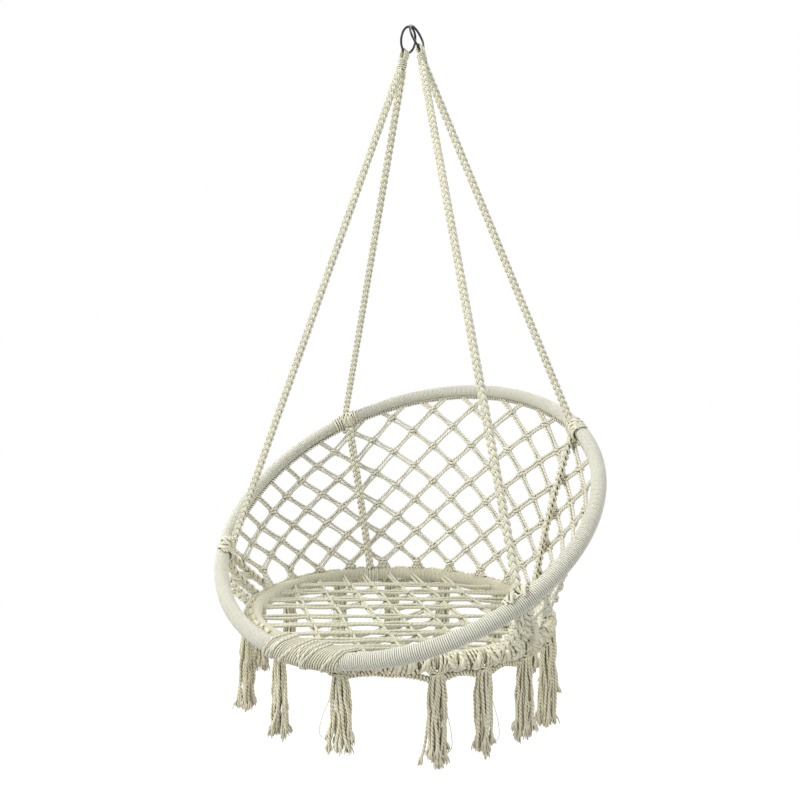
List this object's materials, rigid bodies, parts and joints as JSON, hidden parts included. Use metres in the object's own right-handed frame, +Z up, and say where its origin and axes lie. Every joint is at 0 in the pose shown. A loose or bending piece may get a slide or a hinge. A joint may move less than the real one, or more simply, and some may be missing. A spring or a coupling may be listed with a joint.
{
  "type": "hammock chair",
  "caption": "Round macrame hanging chair: cord-wrapped steel back and seat hoops, knotted net between them, braided hanging ropes on steel rings, tassel fringe.",
  "frame": {"origin": "point where the hook bears on the inside of the two steel rings, above the balance point of the chair", "axes": "+Z up, -Y towards the front of the chair where the sitter's legs hang, +X to the right as seen from the front; left and right in node names are as seen from the front"},
  "size_m": [0.7988, 0.6622, 1.3379],
  "materials": {
    "ring_steel": "dark, satin",
    "tube_steel": "painted, hidden",
    "cotton_cord": "matt natural cotton",
    "hoop_cord": "matt natural cotton, close wound",
    "tassel_cord": "matt natural cotton, loose twisted ends"
  },
  "bodies": {
    "rings": {"hanging_ring_left": "ring_steel", "hanging_ring_right": "ring_steel"},
    "chair": {"rope_head_left": "cotton_cord", "rope_head_right": "cotton_cord", "rope_front_left": "cotton_cord", "rope_front_right": "cotton_cord", "rope_back_left": "cotton_cord", "rope_back_right": "cotton_cord", "knot_front_left": "cotton_cord", "knot_front_right": "cotton_cord", "knot_back_left": "cotton_cord", "knot_back_right": "cotton_cord", "rope_lower_left": "cotton_cord", "rope_lower_right": "cotton_cord", "side_cords_left": "cotton_cord", "side_cords_right": "cotton_cord", "back_hoop_frame": "tube_steel", "back_hoop_wrap": "hoop_cord", "seat_hoop_frame": "tube_steel", "seat_hoop_wrap": "hoop_cord", "back_net": "cotton_cord", "seat_net": "cotton_cord", "front_lashing": "cotton_cord"},
    "tassel_01": {"tassel_01": "tassel_cord"},
    "tassel_02": {"tassel_02": "tassel_cord"},
    "tassel_03": {"tassel_03": "tassel_cord"},
    "tassel_04": {"tassel_04": "tassel_cord"},
    "tassel_05": {"tassel_05": "tassel_cord"},
    "tassel_06": {"tassel_06": "tassel_cord"},
    "tassel_07": {"tassel_07": "tassel_cord"},
    "tassel_08": {"tassel_08": "tassel_cord"},
    "tassel_09": {"tassel_09": "tassel_cord"},
    "tassel_10": {"tassel_10": "tassel_cord"},
    "tassel_11": {"tassel_11": "tassel_cord"},
    "tassel_12": {"tassel_12": "tassel_cord"},
    "tassel_13": {"tassel_13": "tassel_cord"},
    "tassel_14": {"tassel_14": "tassel_cord"},
    "tassel_15": {"tassel_15": "tassel_cord"}
  },
  "joints": [
    {"name": "swing", "type": "hinge", "parent": "rings", "child": "chair", "pos_m": [0, 0, -0.0204], "axis": [1, 0, 0], "range_deg": [-25, 25]},
    {"name": "tassel_01_swing", "type": "hinge", "parent": "chair", "child": "tassel_01", "pos_m": [0.29968, 0.01857, -1.17336], "axis": [-0.0872, 0.9962, 0], "range_deg": [-25, 7]},
    {"name": "tassel_02_swing", "type": "hinge", "parent": "chair", "child": "tassel_02", "pos_m": [0.26062, 0.1428, -1.17336], "axis": [-0.5, 0.866, 0], "range_deg": [-25, 7]},
    {"name": "tassel_03_swing", "type": "hinge", "parent": "chair", "child": "tassel_03", "pos_m": [0.18936, 0.22621, -1.17336], "axis": [-0.7771, 0.6293, 0], "range_deg": [-25, 7]},
    {"name": "tassel_04_swing", "type": "hinge", "parent": "chair", "child": "tassel_04", "pos_m": [0.08301, 0.28178, -1.17336], "axis": [-0.9613, 0.2756, 0], "range_deg": [-25, 7]},
    {"name": "tassel_05_swing", "type": "hinge", "parent": "chair", "child": "tassel_05", "pos_m": [-0.05743, 0.28791, -1.17336], "axis": [-0.9816, -0.1908, 0], "range_deg": [-25, 7]},
    {"name": "tassel_06_swing", "type": "hinge", "parent": "chair", "child": "tassel_06", "pos_m": [-0.17732, 0.23642, -1.17336], "axis": [-0.809, -0.5878, 0], "range_deg": [-25, 7]},
    {"name": "tassel_07_swing", "type": "hinge", "parent": "chair", "child": "tassel_07", "pos_m": [-0.26336, 0.13831, -1.17336], "axis": [-0.4848, -0.8746, 0], "range_deg": [-25, 7]},
    {"name": "tassel_08_swing", "type": "hinge", "parent": "chair", "child": "tassel_08", "pos_m": [-0.30093, 0.00284, -1.17336], "axis": [-0.0349, -0.9994, 0], "range_deg": [-25, 7]},
    {"name": "tassel_09_swing", "type": "hinge", "parent": "chair", "child": "tassel_09", "pos_m": [-0.28292, -0.11061, -1.17336], "axis": [0.342, -0.9397, 0], "range_deg": [-25, 7]},
    {"name": "tassel_10_swing", "type": "hinge", "parent": "chair", "child": "tassel_10", "pos_m": [-0.18538, -0.24495, -1.17336], "axis": [0.788, -0.6157, 0], "range_deg": [-25, 7]},
    {"name": "tassel_11_swing", "type": "hinge", "parent": "chair", "child": "tassel_11", "pos_m": [-0.05206, -0.30296, -1.17986], "axis": [0.9848, -0.1736, 0], "range_deg": [-25, 7]},
    {"name": "tassel_12_swing", "type": "hinge", "parent": "chair", "child": "tassel_12", "pos_m": [0.0724, -0.29804, -1.17986], "axis": [0.9703, 0.2419, 0], "range_deg": [-25, 7]},
    {"name": "tassel_13_swing", "type": "hinge", "parent": "chair", "child": "tassel_13", "pos_m": [0.20932, -0.22438, -1.17336], "axis": [0.7193, 0.6947, 0], "range_deg": [-25, 7]},
    {"name": "tassel_14_swing", "type": "hinge", "parent": "chair", "child": "tassel_14", "pos_m": [0.26059, -0.15809, -1.17336], "axis": [0.5, 0.866, 0], "range_deg": [-25, 7]},
    {"name": "tassel_15_swing", "type": "hinge", "parent": "chair", "child": "tassel_15", "pos_m": [0.29433, -0.0702, -1.17336], "axis": [0.2079, 0.9781, 0], "range_deg": [-25, 7]}
  ]
}
